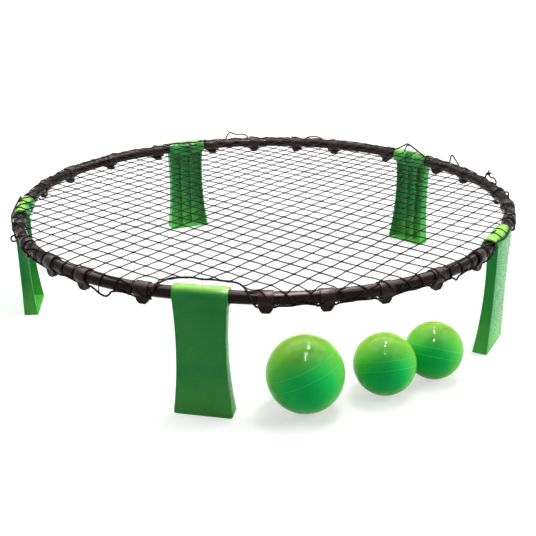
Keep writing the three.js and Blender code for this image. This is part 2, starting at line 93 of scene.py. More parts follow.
RING_STEP = 72  # degrees from one leg to the next
FIRST_LEG = 270  # degrees from +X
HALF_STEP = math.radians(RING_STEP / 2)
TUBE_RADIUS = 0.010
TUBE_STRAIGHT = 0.025  # straight end of each tube
SLEEVE_HALF = 0.011
CROOK_PASS = 0.0115  # from the middle of a collar, where the cord leaves its crook
LEG_NAMES = ["front", "right", "back_right", "back_left", "left"]
TUBE_NAMES = ["front_right", "right", "back", "left", "front_left"]

leg_hinge = Vector(next(joint for joint in frame["joints"] if joint["name"] == "leg_front_fold")["pos_m"])
rim_height = leg_hinge.z
leg_radius = leg_hinge.xy.length
arc_offset = TUBE_STRAIGHT / math.sin(HALF_STEP)
arc_radius = leg_radius - arc_offset * math.cos(HALF_STEP)
half_run = arc_radius * HALF_STEP + TUBE_STRAIGHT


def leg_azimuth(index):
    return math.radians(FIRST_LEG + RING_STEP * index)


def tube_azimuth(index):
    return math.radians(FIRST_LEG + RING_STEP * (index + 0.5))


def beside_rim(tube, along, out, up):
    """The point that lies out and up from the centre of a tube, at a distance along from its middle."""
    turn = min(max(along / arc_radius, -HALF_STEP), HALF_STEP)
    rest = along - turn * arc_radius
    x = arc_offset + (arc_radius + out) * math.cos(turn) - rest * math.sin(turn)
    y = (arc_radius + out) * math.sin(turn) + rest * math.cos(turn)
    return Matrix.Rotation(tube_azimuth(tube), 3, "Z") @ Vector((x, y, rim_height + up))


def rim_place(spot):
    """The tube that a spot on the ground plan is nearest to, its distance along it, and how far out."""
    tube = round((math.atan2(spot.y, spot.x) - tube_azimuth(0)) / (2 * HALF_STEP)) % 5
    point = Matrix.Rotation(-tube_azimuth(tube), 3, "Z") @ Vector((spot.x, spot.y, 0))
    side = Vector((point.x - arc_offset, point.y))
    turn = math.atan2(side.y, side.x)
    if abs(turn) <= HALF_STEP:
        return tube, turn * arc_radius, side.length - arc_radius
    turn = math.copysign(HALF_STEP, point.y)
    outwards = Vector((math.cos(turn), math.sin(turn)))
    forwards = Vector((-math.sin(turn), math.cos(turn)))
    return tube, turn * arc_radius + side.dot(forwards), side.dot(outwards) - arc_radius


def collar_place(tube, number):
    low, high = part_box(f"net_hook_{TUBE_NAMES[tube]}_{number}")
    return rim_place((low + high) / 2)[1]


collars = [[collar_place(tube, number) for number in range(1, 6)] for tube in range(5)]

# How the cord lies, out and up from the centre of the tube, in millimetres. In a crook, under the tube,
# on its climb from the last collar to the top (with the share of the way), and past a leg. There it
# goes behind the knuckle, lies over it, or stands up in a slack loop.
IN_CROOK = (1.5, -14.0)
BELOW_TUBE = (7.7, -8.7)
CORD_SWING = (-16, 22)  # degrees round the tube, where it lies looser or tighter
CORD_POINT_EVERY = 16
BESIDE_TAB = (6.2, -9.9)  # where it leaves a tab and meets the tube
BESIDE_TAB_REACH = 17.0  # from the middle of the collar
BESIDE_TAB_ROOM = 6
SLACK_ROOM = 8  # no other point lies this near a slack loop
CLIMB = [(1.0, 7.6, -9.4), (0.88, 11.6, -1.0), (0.76, 10.0, 6.6), (0.64, 3.0, 12.0), (0.42, -9.0, 13.8),
         (0.12, -17.0, 15.0)]
CLIMB_OVER = [(1.0, 6.6, -12.4), (0.69, 13.0, -4.5), (0.45, 14.0, 5.0), (0.24, 14.0, 9.0), (0.0, 12.5, 11.5)]
KNUCKLE_PASS = 45.0
CLIMB_START = 14.5
BEHIND_KNUCKLE = [(30, -20, 16.2), (18, -24, 15.2), (4, -19, 15.8), (-12, -22, 15.2), (-30, -17, 16.6)]
OVER_KNUCKLE = [(30, 13, 10.5), (10, 14.6, 8.2), (-10, 14.8, 7.6), (-30, 13, 10.5)]
LOOSE_LOOP = [(38, -10, 15), (24, -8, 20), (8, -7, 26), (-8, -6, 31), (-14, -8, 28.5), (-24, -12, 22),
              (-34, -15, 17)]
LEG_ROUTES = [BEHIND_KNUCKLE, OVER_KNUCKLE, LOOSE_LOOP, BEHIND_KNUCKLE, OVER_KNUCKLE]
# The slack loop over the back right leg is doubled, and its second strand drops behind the knuckle.
LOOP_LEG = 2
SECOND_STRAND = [(37, -7.6, 14.4), (24, -5, 17.5), (8, -4, 23.5), (-5, -3.5, 28), (-10, -6, 27),
                 (-11, -11, 20), (-9, -15, 15)]

# Slack stretches between two collars, by tube. Each row is along, out and up.
SLACK = {
    0: [[(112, 7, -9.5), (118, 7, -13), (124, 6.5, -16), (130, 6.5, -11)]],
    1: [[(-24, 12, 3), (-32, 14, 8), (-39, 15, 6), (-45, 12.5, -2)],
        [(154, 12, 0), (163, 13, 10), (172, 12, 18), (183, 12, 25), (188, 13, 12), (191, 12, 1)]],
    2: [[(-50, 12, 4), (-38, 9, 12.5), (-20, 9, 13), (-6, 12, 7)],
        [(128, 12, 2), (133, 12, 14), (142, 11, 17.5), (158, 11, 18), (172, 10, 23), (180, 13, 10),
         (182, 12, 0)]],
    4: [[(-170, 12, -8), (-167, 16.5, -9), (-161, 16.5, -14), (-156, 10, -13)],
        [(106, 6, -12), (112, 6, -15), (122, 6, -20), (132, 6, -21), (139, 6, -16), (143, 7, -11)]],
}
# The knot stands outside the right tube, with one slack bend beside it and two short tails.
KNOT_TUBE = 1
KNOT_AFTER = 2
KNOT_RISE = [(0, 12, 17), (7, 12.5, 15), (14, 14, 5), (24, 10, -8)]
KNOT_FALL = [(-24, 12, -2), (-33, 13.5, 8), (-24, 13, 15), (-12, 12, 13), (0, 12, 17)]
KNOT_SPOT = (12.5, 17.5)
KNOT_SIZE = 0.0031
KNOT_SIDES = 10
KNOT_STEPS = 60
TAILS = [[(0, 0, 0), (1.5, 1, 3), (2, 2, 7)], [(0, 0, 0), (-3, 2, 2), (-5, 4, 2)]]


def leg_between(tube, along):
    """The leg nearest to a place on a tube, and the distance to its joint."""
    leg = (tube + 1) % 5 if along > 0 else tube
    return leg, half_run - abs(along)


def climb_points(tube, collar):
    """The cord's way from the last collar up to the knuckle, as along, out and up in millimetres."""
    leg, distance = leg_between(tube, collar)
    climb = CLIMB_OVER if LEG_ROUTES[leg] is OVER_KNUCKLE else CLIMB
    reach = distance * 1000 - CLIMB_START - KNUCKLE_PASS
    sign = math.copysign(1, collar)
    return [(sign * (half_run * 1000 - KNUCKLE_PASS - share * reach), out, up) for share, out, up in climb]


def between_collars(tube, first, second):
    """The cord's way under the tube from one collar to the next, with its slack loops."""
    slack = [loop for loop in SLACK.get(tube, [])
             if min(first, second) < loop[0][0] / 1000 < max(first, second)]
    taken = [sorted((loop[0][0], loop[-1][0])) for loop in slack]
    span = (second - first) * 1000
    start = first * 1000
    steps = max(4, round(abs(span) / CORD_POINT_EVERY))

    def clear(along, room):
        return not any(low - room < along < high + room for low, high in taken)

    points = [(along, *BESIDE_TAB) for along in (start + BESIDE_TAB_REACH, start + span - BESIDE_TAB_REACH)
              if clear(along, BESIDE_TAB_ROOM)]
    for step in range(2, steps - 1):
        along = start + span * step / steps
        from_collar = min(along - start, start + span - along)
        if from_collar >= BESIDE_TAB_REACH + BESIDE_TAB_ROOM and clear(along, SLACK_ROOM):
            turn = math.radians(chance.uniform(*CORD_SWING))
            out = BELOW_TUBE[0] * math.cos(turn) - BELOW_TUBE[1] * math.sin(turn)
            up = BELOW_TUBE[0] * math.sin(turn) + BELOW_TUBE[1] * math.cos(turn)
            points.append((along, out, up))
    for loop in slack:
        points += loop
    return sorted(points, key=lambda point: point[0], reverse=span < 0)


chance = random.Random(5)
route = []


def lay_cord(tube, rows):
    route.extend(beside_rim(tube, along / 1000, out / 1000, up / 1000) for along, out, up in rows)


def past_leg(leg, rows):
    """The points of a way past a leg: distance before its joint, out and up, in millimetres."""
    for distance, out, up in rows:
        tube = (leg - 1) % 5 if distance >= 0 else leg
        along = math.copysign(half_run * 1000, distance) - distance
        yield beside_rim(tube, along / 1000, out / 1000, up / 1000)


def past_collars(tube, places):
    for index, place in enumerate(places):
        if index > 0:
            lay_cord(tube, between_collars(tube, places[index - 1], place))
        lay_cord(tube, [((place + side * CROOK_PASS) * 1000, *IN_CROOK) for side in (-1, 1)])


knot_along = sum(collars[KNOT_TUBE][KNOT_AFTER:KNOT_AFTER + 2]) / 2 * 1000
lay_cord(KNOT_TUBE, [(knot_along + along, out, up) for along, out, up in KNOT_RISE])
past_collars(KNOT_TUBE, collars[KNOT_TUBE][KNOT_AFTER + 1:])
for step in range(5):
    tube = (KNOT_TUBE + step) % 5
    following = (tube + 1) % 5
    lay_cord(tube, climb_points(tube, collars[tube][-1]))
    route.extend(past_leg(following, LEG_ROUTES[following]))
    lay_cord(following, climb_points(following, collars[following][0])[::-1])
    last = KNOT_AFTER + 1 if following == KNOT_TUBE else 5
    past_collars(following, collars[following][:last])
lay_cord(KNOT_TUBE, [(knot_along + along, out, up) for along, out, up in KNOT_FALL])


def smooth_path(points):
    """Points one cord step apart on a smooth curve through the given points."""
    points = [np.array(point, float) for point in points]
    knots = np.cumsum([0] + [np.linalg.norm(b - a) ** 0.5 for a, b in zip(points, points[1:])])
    slopes = []
    for index in range(len(points)):
        before = max(index - 1, 0)
        after = min(index + 1, len(points) - 1)
        slopes.append((points[after] - points[before]) / (knots[after] - knots[before]))
    path = []
    for index in range(len(points) - 1):
        span = knots[index + 1] - knots[index]
        count = max(1, round(np.linalg.norm(points[index + 1] - points[index]) / CORD_STEP))
        for part in range(count):
            t = part / count
            path.append((2 * t**3 - 3 * t**2 + 1) * points[index]
                        + (t**3 - 2 * t**2 + t) * span * slopes[index]
                        + (3 * t**2 - 2 * t**3) * points[index + 1]
                        + (t**3 - t**2) * span * slopes[index + 1])
    return np.array(path + [points[-1]])


def tube_rings(path, radius, sides, strands=0, lay=1.0):
    """Rings of points round a path, with its lengths. Strands give it lobes that turn with the lay."""
    path = np.asarray(path, float)
    tangents = np.gradient(path, axis=0)
    tangents /= np.linalg.norm(tangents, axis=1)[:, None]
    lengths = np.concatenate([[0], np.cumsum(np.linalg.norm(np.diff(path, axis=0), axis=1))])
    side = np.cross(tangents[0], (0.3, 0.2, 1.0))
    sides_of = []
    for tangent in tangents:
        side = side - tangent * side.dot(tangent)
        side /= np.linalg.norm(side)
        sides_of.append(side)
    across = np.array(sides_of)
    over = np.cross(tangents, across)
    angles = np.arange(sides) * 2 * math.pi / sides
    swell = np.ones((len(path), sides))
    if strands:
        swell = 1 + STRAND_SWELL * np.cos(strands * (angles[None] - lengths[:, None] * 2 * math.pi / lay))
    section = np.cos(angles)[None, :, None] * across[:, None] + np.sin(angles)[None, :, None] * over[:, None]
    return path[:, None] + (radius * swell)[..., None] * section, lengths


def cord_piece(name, tubes, radius):
    """A piece of closed tubes. Its UV map holds the length along a cord and the way round it, in metres."""
    vertices, faces, places = [], [], []
    start = 0
    for rings, lengths in tubes:
        count, sides = rings.shape[:2]
        around = 2 * math.pi * radius / sides
        vertices.append(rings.reshape(-1, 3))
        for ring in range(count - 1):
            for side in range(sides):
                after = (side + 1) % sides
                base = start + ring * sides
                faces.append((base + side, base + after, base + sides + after, base + sides + side))
                near, far = side * around, (side + 1) * around
                places += [(lengths[ring], near), (lengths[ring], far),
                           (lengths[ring + 1], far), (lengths[ring + 1], near)]
        for cap, order in ((0, -1), (count - 1, 1)):
            faces.append(tuple(start + cap * sides + side for side in range(sides))[::order])
            places += [(lengths[cap], 0)] * sides
        start += count * sides
    mesh = bpy.data.meshes.new(name)
    mesh.from_pydata(np.concatenate(vertices).tolist(), [], faces)
    layer = mesh.uv_layers.new(name="along")
    layer.data.foreach_set("uv", np.array(places, "f").ravel())
    mesh.shade_smooth()
    piece = bpy.data.objects.new(name, mesh)
    scene.collection.objects.link(piece)
    return piece


def laid_cord(path):
    return tube_rings(path, CORD_RADIUS, CORD_SIDES, CORD_STRANDS, CORD_LAY)


def by_the_knot(along, out, up):
    return beside_rim(KNOT_TUBE, (knot_along + along) / 1000, (KNOT_SPOT[0] + out) / 1000,
                      (KNOT_SPOT[1] + up) / 1000)


# The knot is an overhand knot: one closed turn of cord drawn up into a trefoil.
turns = np.linspace(0, 2 * math.pi, KNOT_STEPS)
trefoil = np.stack([np.sin(turns) + 2 * np.sin(2 * turns), np.cos(turns) - 2 * np.cos(2 * turns),
                    -1.4 * np.sin(3 * turns)], axis=1)
knot_path = np.array(by_the_knot(0, 0, 0)) + trefoil * KNOT_SIZE / 3
cord_path = smooth_path(route)
cord_tubes = [laid_cord(cord_path), tube_rings(knot_path, CORD_RADIUS, KNOT_SIDES)]
cord_tubes += [laid_cord(smooth_path([by_the_knot(*point) for point in tail])) for tail in TAILS]
cord_tubes.append(laid_cord(smooth_path(past_leg(LOOP_LEG, SECOND_STRAND))))
edge_cord = cord_piece("edge_cord_laid", cord_tubes, CORD_RADIUS)


def add_node(tree, kind, inputs=(), **settings):
    """A shader node with its settings made and its inputs set or linked by name."""
    node = tree.nodes.new(kind)
    for key, value in settings.items():
        setattr(node, key, value)
    for socket, value in dict(inputs).items():
        if isinstance(value, bpy.types.NodeSocket):
            tree.links.new(value, node.inputs[socket])
        else:
            node.inputs[socket].default_value = value
    return node


def new_material(name, **constants):
    """A material with one Principled shader, whose sockets take the constants."""
    material = bpy.data.materials.new(name)
    material.use_nodes = True
    tree = material.node_tree
    shader = tree.nodes["Principled BSDF"]
    for socket, value in constants.items():
        shader.inputs[socket.replace("_", " ")].default_value = value
    return material, tree, shader


def object_place(tree):
    return add_node(tree, "ShaderNodeTexCoord").outputs["Object"]


def noise(tree, place, scale, detail, **more):
    return add_node(tree, "ShaderNodeTexNoise",
                    {"Vector": place, "Scale": scale, "Detail": detail, **more}).outputs["Fac"]


def maths(tree, operation, *values, clamped=False):
    return add_node(tree, "ShaderNodeMath", dict(enumerate(values)), operation=operation,
                    use_clamp=clamped).outputs[0]


def value_between(tree, factor, low, high, start=0.0, end=1.0):
    """A value that goes from low to high as the factor goes from start to end."""
    spread = add_node(tree, "ShaderNodeMapRange",
                      {"Value": factor, "From Min": start, "From Max": end, "To Min": low, "To Max": high})
    return spread.outputs["Result"]


def ramp(tree, factor, *stops):
    """Colours between stops, each a value of the factor and a colour. The first two are the ramp's ends."""
    node = add_node(tree, "ShaderNodeValToRGB", {"Fac": factor})
    for index, (position, colour) in enumerate(stops):
        stop = node.color_ramp.elements[index] if index < 2 else node.color_ramp.elements.new(position)
        stop.position = position
        stop.color = (*colour, 1)
    return node.outputs["Color"]


def coloured_over(tree, share, below, colour):
    """The colour below, with a share of another colour over it."""
    return add_node(tree, "ShaderNodeMix", {0: share, 6: below, 7: (*colour, 1)}, data_type="RGBA").outputs[2]


def finish_shader(tree, shader, colour, roughness, height, bump_strength, bump_depth):
    """Links the colour and roughness, and lets a height roughen the surface."""
    bump = add_node(tree, "ShaderNodeBump", {"Height": height, "Strength": bump_strength,
                                             "Distance": bump_depth})
    tree.links.new(colour, shader.inputs["Base Color"])
    tree.links.new(roughness, shader.inputs["Roughness"])
    tree.links.new(bump.outputs["Normal"], shader.inputs["Normal"])


def cord_material(name, yarn_width, dark, pale):
    """Twisted black polyester: fine yarns that cross the cord at a slant, with a little dust on them."""
    material, tree, shader = new_material(name, Specular_IOR_Level=0.06, Sheen_Weight=0.04)
    along = add_node(tree, "ShaderNodeUVMap", uv_map="along").outputs["UV"]
    slant = add_node(tree, "ShaderNodeMapping", {"Vector": along, "Rotation": (0, 0, YARN_SLANT)})
    yarns = add_node(tree, "ShaderNodeTexWave", {"Vector": slant.outputs["Vector"],
                                                 "Scale": math.pi / 10 / yarn_width, "Distortion": 0.6,
                                                 "Detail": 1.0}).outputs["Fac"]
    place = object_place(tree)
    dust = noise(tree, place, 45.0, 4.0)
    fuzz = noise(tree, place, 1800.0, 2.0)
    finish_shader(tree, shader, ramp(tree, maths(tree, "MULTIPLY", yarns, dust), (0.1, dark), (0.65, pale)),
                  value_between(tree, dust, 0.72, 0.95), maths(tree, "MULTIPLY_ADD", fuzz, 0.5, yarns),
                  bump_strength=0.7, bump_depth=0.0003)
    return material


edge_cord.data.materials.append(cord_material("laid_black_cord", CORD_YARN, CORD_DARK, CORD_PALE))
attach(edge_cord, "ring")
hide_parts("edge_cord")


# ---- Net -------------------------------------------------
# A knotted black net with 28 mm meshes, pulled tight over the ring. It lies flat inside the ring, bends
# over the top of the tube and the collars, and its border meshes are held by the edge cord below.

MESH_SIDE = 0.028
NET_TURN = math.radians(63)
NET_REACH = 0.52  # no crossing lies further from the middle
NET_CORD = 0.001  # radius
NET_CORD_SIDES = 6
NET_LIFT = 0.013  # above the centre of the tube, where the net lies flat
RISE_LENGTH = 0.012  # over which it comes up or down to the crest
CREST_GAP = 0.0014  # from the tube to the middle of a net cord
OVER_SLEEVE = 0.0132
OVER_KNUCKLE_RADIUS = 0.0158
KNUCKLE_HALF = 0.042
SLEEVE_SLOPE = (0.005, 0.004)  # where the net starts to rise beside a sleeve, and over what length
WRAP_RADIUS = 0.0115  # turns a length of net beyond the crest into an angle
BORDER_ROOM = 0.010
HELD_WITHIN = 0.016  # a border mesh that ends this near the edge cord hangs on it
HELD_OVER_KNUCKLE = (0.0128, 0.0110)
HELD_BEHIND_KNUCKLE = (-0.020, 0.0135)
SETTLING_ROUNDS = 10
SETTLING_SHARE = 0.45
CROSSING_SPREAD = 0.0006
RIM_ZONE = 0.020  # inside this reach of the rim the cords are drawn finer and looser
RIM_BOW, FLAT_BOW = 0.0011, 0.0005  # how far a cord bows between two knots
RIM_PARTS, FLAT_PARTS = 9, 2
KNOT_LUMP = Vector((0.0018, 0.0015, 0.0014))
KNOT_LEAN = 14  # degrees, either way
BORDER_KNOT = 1.15  # times as large
NET_YARN = 0.0006
NET_DARK = (0.004, 0.0022, 0.002)
NET_PALE = (0.020, 0.012, 0.011)

chance = random.Random(11)


def lacing(tube, along):
    """Where the edge cord holds the net at a place on a tube: out and up from its centre, in metres."""
    leg, distance = leg_between(tube, along)
    if distance * 1000 < KNUCKLE_PASS:
        return HELD_OVER_KNUCKLE if LEG_ROUTES[leg] is OVER_KNUCKLE else HELD_BEHIND_KNUCKLE
    end_collar = collars[tube][-1] if along > 0 else collars[tube][0]
    rows = sorted((half_run - abs(row[0]) / 1000, row[1] / 1000, row[2] / 1000)
                  for row in climb_points(tube, end_collar))
    for near, far in zip(rows, rows[1:]):
        if distance < far[0]:
            share = (distance - near[0]) / (far[0] - near[0])
            return near[1] + (far[1] - near[1]) * share, near[2] + (far[2] - near[2]) * share
    return BELOW_TUBE[0] / 1000, BELOW_TUBE[1] / 1000


def reach_of(tube, along):
    """How far past the crest the net reaches, measured along the net."""
    out, up = lacing(tube, along)
    return out if out < 0 else math.atan2(out, up) * WRAP_RADIUS


def crest_radius(tube, along):
    """Distance of the net from the centre of the tube as it bends over the tube, a collar or a knuckle."""
    leg, distance = leg_between(tube, along)
    if distance < KNUCKLE_HALF and LEG_ROUTES[leg] is OVER_KNUCKLE:
        return OVER_KNUCKLE_RADIUS
    nearest = min(abs(along - place) for place in collars[tube])
    rise = min(max((SLEEVE_HALF + SLEEVE_SLOPE[0] - nearest) / SLEEVE_SLOPE[1], 0), 1)
    return TUBE_RADIUS + CREST_GAP + (OVER_SLEEVE - TUBE_RADIUS - CREST_GAP) * rise


def on_the_ring(point):
    """Lays a point of the flat net on the ring: flat inside it, and bent over the tube outside its crest."""
    tube, along, out = rim_place(point)
    radius = crest_radius(tube, along)
    if out <= 0:
        lift = NET_LIFT - (NET_LIFT - radius) * math.exp(out / RISE_LENGTH)
        return Vector((*point, rim_height + lift))
    end_out, end_up = lacing(tube, along)
    end = max(reach_of(tube, along), 0.001)
    share = min(max(out / end * 2.5 - 1.5, 0), 1)  # the last two fifths draw in to the edge cord
    radius += (math.hypot(end_out, end_up) - radius) * share * share
    turn = out / WRAP_RADIUS
    return beside_rim(tube, along, radius * math.sin(turn), radius * math.cos(turn))


def flat_point(column, row):
    across = Vector((math.cos(NET_TURN), math.sin(NET_TURN)))
    return column * MESH_SIDE * across + row * MESH_SIDE * across.orthogonal()


held_at = {}
crossings = {}
span = math.ceil(NET_REACH / MESH_SIDE)
for column in range(-span, span + 1):
    for row in range(-span, span + 1):
        place = flat_point(column, row)
        tube, along, out = rim_place(place)
        if place.length < NET_REACH and out < reach_of(tube, along) - BORDER_ROOM:
            crossings[column, row] = place
inner = set(crossings)
STEPS = ((1, 0), (0, 1), (-1, 0), (0, -1))
for column, row in sorted(inner):
    for step in STEPS:
        key = (column + step[0], row + step[1])
        if key in crossings:
            continue
        place = flat_point(*key)
        tube, along, out = rim_place(place)
        collar = min(collars[tube], key=lambda spot: abs(spot - along))
        if abs(along - collar) < CROOK_PASS + 0.001:
            along = collar + math.copysign(CROOK_PASS + 0.001, along - collar)
        crossings[key] = beside_rim(tube, along, reach_of(tube, along), 0).xy
        spot = np.array(on_the_ring(crossings[key]))
        nearest = cord_path[np.argmin(((cord_path - spot) ** 2).sum(axis=1))]
        if np.linalg.norm(nearest - spot) < HELD_WITHIN:
            held_at[key] = Vector(nearest - spot)

# The meshes next to the border even out, because each cord pulls on its knots.
for settle in range(SETTLING_ROUNDS):
    moved = {}
    for key in inner:
        around = [crossings[key[0] + step[0], key[1] + step[1]] for step in STEPS]
        mean = sum(around, Vector((0, 0))) / 4
        moved[key] = crossings[key].lerp(mean, SETTLING_SHARE)
    crossings.update(moved)
for key in sorted(inner):
    crossings[key] += Vector((chance.gauss(0, CROSSING_SPREAD), chance.gauss(0, CROSSING_SPREAD)))


def pull_at(key):
    """How far the edge cord draws a crossing from its place on the ring."""
    return held_at.get(key, Vector((0, 0, 0)))


def place_of(key):
    return on_the_ring(crossings[key]) + pull_at(key)


def cord_between(first, second, path):
    """Adds the way from one crossing to the next, fine where the net bends over the tube."""
    start, end = crossings[first], crossings[second]
    near_rim = max(rim_place(start)[2], rim_place(end)[2]) > -RIM_ZONE
    parts = RIM_PARTS if near_rim else FLAT_PARTS
    side = (end - start).orthogonal().normalized() * chance.gauss(0, RIM_BOW if near_rim else FLAT_BOW)
    for part in range(parts):
        t = part / parts
        pull = pull_at(first) * max(1 - 2 * t, 0) ** 2 + pull_at(second) * max(2 * t - 1, 0) ** 2
        path.append(on_the_ring(start.lerp(end, t) + side * math.sin(math.pi * t)) + pull)


def straight_cords(column_step, row_step):
    """The cords of one family, each as a run of crossings from border to border."""
    for start in sorted(crossings):
        before = (start[0] - column_step, start[1] - row_step)
        if before in crossings and (before in inner or start in inner):
            continue
        path, here = [], start
        while True:
            after = (here[0] + column_step, here[1] + row_step)
            if after not in crossings or not (here in inner or after in inner):
                break
            cord_between(here, after, path)
            here = after
        if path:
            path.append(place_of(here))
            yield path


net_tubes = [tube_rings(path, NET_CORD, NET_CORD_SIDES) for family in ((1, 0), (0, 1))
             for path in straight_cords(*family)]
net = cord_piece("net_knotted", net_tubes, NET_CORD)

# One knot: the two cords drawn round each other into a small oblong lump.
bpy.ops.object.select_all(action="DESELECT")
bpy.ops.mesh.primitive_uv_sphere_add(segments=8, ring_count=5, radius=1)
knot = bpy.context.object
knot_points = np.array([vertex.co for vertex in knot.data.vertices])
knot_faces = [tuple(face.vertices) for face in knot.data.polygons]
knot_points[:, 2] += 0.22 * np.sin(2.2 * knot_points[:, 0]) * np.cos(1.5 * knot_points[:, 1])
bpy.data.objects.remove(knot)

knots = bmesh.new()
knots.from_mesh(net.data)
uv = knots.loops.layers.uv["along"]
for key in sorted(crossings):
    spot = place_of(key)
    lean = NET_TURN + math.radians(45 + chance.gauss(0, KNOT_LEAN))
    size = KNOT_LUMP * chance.uniform(0.88, 1.14)
    if key not in inner:
        size *= BORDER_KNOT
    turn = Matrix.Rotation(lean, 3, "Z") @ Matrix.Diagonal(size)
    corners = [knots.verts.new(spot + turn @ Vector(point)) for point in knot_points]
    for face in knot_faces:
        made = knots.faces.new([corners[corner] for corner in face])
        made.smooth = True
        for loop in made.loops:
            loop[uv].uv = (loop.vert.co.x, loop.vert.co.y)
knots.to_mesh(net.data)
knots.free()
net.data.materials.append(cord_material("black_net_cord", NET_YARN, NET_DARK, NET_PALE))
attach(net, "ring")
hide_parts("net")


# ---- Rim tubes -------------------------------------------
# Five black-brown plastic tubes, 20 mm thick, bent to the round of the ring with straight ends. Each
# plugs into the next with a spigot, and the joints are hidden inside the knuckles of the legs.

TUBE_SIDES = 36
TUBE_BENDS = 48  # steps round the bend of one tube
TUBE_WALL = 0.0025
END_GAP = 0.00015  # half the gap between the faces of two tubes
SPIGOT_LENGTH = 0.022
SPIGOT_CLEARANCE = 0.0003
SPIGOT_CHAMFER = 0.0008
BORE_END_ROOM = 0.003  # beyond the tip of the spigot
TUBE_DARK = (0.0025, 0.0012, 0.0012)
TUBE_PALE = (0.008, 0.0042, 0.004)


def start_fresh():
    """Leaves edit mode and deselects everything, before a new primitive is added."""
    if bpy.context.object and bpy.context.object.mode != "OBJECT":
        bpy.ops.object.mode_set(mode="OBJECT")
    bpy.ops.object.select_all(action="DESELECT")


def only(piece):
    """Makes a piece the one that is selected and active, in object mode."""
    start_fresh()
    piece.select_set(True)
    bpy.context.view_layer.objects.active = piece


def place_applied(piece):
    only(piece)
    bpy.ops.object.transform_apply(location=True, rotation=True, scale=True)


def new_solid(primitive, **settings):
    """A primitive at its size and place, which are applied to its mesh."""
    start_fresh()
    primitive(**settings)
    piece = bpy.context.object
    place_applied(piece)
    return piece


def block(low, high):
    low, high = Vector(low), Vector(high)
    return new_solid(bpy.ops.mesh.primitive_cube_add, size=1, location=(low + high) / 2, scale=high - low)


def cylinder(sides, radius, depth, **settings):
    return new_solid(bpy.ops.mesh.primitive_cylinder_add, vertices=sides, radius=radius, depth=depth,
                     **settings)


def edit(piece):
    only(piece)
    bpy.ops.object.mode_set(mode="EDIT")


def finish_editing():
    bpy.ops.object.mode_set(mode="OBJECT")


def select_whole():
    bpy.ops.mesh.select_all(action="SELECT")


def slice_through(place, normal):
    """Cuts edges into the piece where a plane crosses it."""
    select_whole()
    bpy.ops.mesh.bisect(plane_co=place, plane_no=normal)


def pick(kind, test):
    """In edit mode, selects the faces, edges or vertices that pass a test of their place and normal, or
    an edge's direction."""
    bpy.ops.mesh.select_all(action="DESELECT")
    bpy.ops.mesh.select_mode(type=kind)
    mesh = bpy.context.edit_object.data
    shape = bmesh.from_edit_mesh(mesh)
    shape.normal_update()
    if kind == "FACE":
        found = [(face, face.calc_center_median(), face.normal) for face in shape.faces]
    elif kind == "EDGE":
        found = [(edge, (edge.verts[0].co + edge.verts[1].co) / 2,
                  (edge.verts[1].co - edge.verts[0].co).normalized()) for edge in shape.edges]
    else:
        found = [(vertex, vertex.co, vertex.normal) for vertex in shape.verts]
    for element, place, way in found:
        if test(place, way):
            element.select_set(True)
    bmesh.update_edit_mesh(mesh)


def bevel(width, segments):
    bpy.ops.mesh.bevel(offset=width, segments=segments, affect="EDGES")


def narrow(across, deep, middle):
    """Scales what is selected along X and Y towards a middle."""
    bpy.ops.transform.resize(value=(across, deep, 1), center_override=middle)


def extrude(offset):
    bpy.ops.mesh.extrude_region_move(TRANSFORM_OT_translate={"value": offset})


def raise_faces(distance):
    """Extrudes the selected faces along their normals."""
    bpy.ops.mesh.extrude_region_shrink_fatten(TRANSFORM_OT_shrink_fatten={"value": distance})


def modify(piece, kind, **settings):
    """Adds a modifier and applies it."""
    modifier = piece.modifiers.new(kind, kind)
    for key, value in settings.items():
        setattr(modifier, key, value)
    only(piece)
    bpy.ops.object.modifier_apply(modifier=modifier.name)


def round_edges(piece, width, segments, sharper_than):
    modify(piece, "BEVEL", width=width, segments=segments, angle_limit=math.radians(sharper_than))


def shade(piece, smooth_to):
    """Shades a piece smooth, apart from edges sharper than an angle in degrees."""
    only(piece)
    bpy.ops.object.shade_smooth_by_angle(angle=math.radians(smooth_to))


end_length = TUBE_STRAIGHT - END_GAP
first_way = Vector((math.sin(HALF_STEP), math.cos(HALF_STEP), 0))
last_way = Vector((-math.sin(HALF_STEP), math.cos(HALF_STEP), 0))
arc_start = Vector((arc_offset + arc_radius * math.cos(HALF_STEP), -arc_radius * math.sin(HALF_STEP),
                    rim_height))

tube_pattern = new_solid(bpy.ops.mesh.primitive_circle_add, vertices=TUBE_SIDES, radius=TUBE_RADIUS,
                         fill_type="NOTHING", location=arc_start - first_way * end_length,
                         rotation=(math.pi / 2, 0, -HALF_STEP))
edit(tube_pattern)
select_whole()
extrude(first_way * end_length)
bpy.ops.mesh.spin(steps=TUBE_BENDS, angle=-2 * HALF_STEP, center=(arc_offset, 0, rim_height), axis=(0, 0, 1))
extrude(last_way * end_length)
select_whole()
bpy.ops.mesh.remove_doubles(threshold=0.00001)
bpy.ops.mesh.fill_holes(sides=0)
select_whole()
bpy.ops.mesh.normals_make_consistent(inside=False)
pick("FACE", lambda centre, normal: normal.dot(last_way) > 0.99 and centre.y > 0)
bpy.ops.mesh.inset(thickness=TUBE_WALL + SPIGOT_CLEARANCE)
extrude(last_way * SPIGOT_LENGTH)
bpy.ops.mesh.inset(thickness=SPIGOT_CHAMFER)
extrude(last_way * SPIGOT_CHAMFER)
pick("FACE", lambda centre, normal: normal.dot(-first_way) > 0.99 and centre.y < 0)
bpy.ops.mesh.inset(thickness=TUBE_WALL)
extrude(first_way * (SPIGOT_LENGTH + BORE_END_ROOM))
shade(tube_pattern, smooth_to=35)


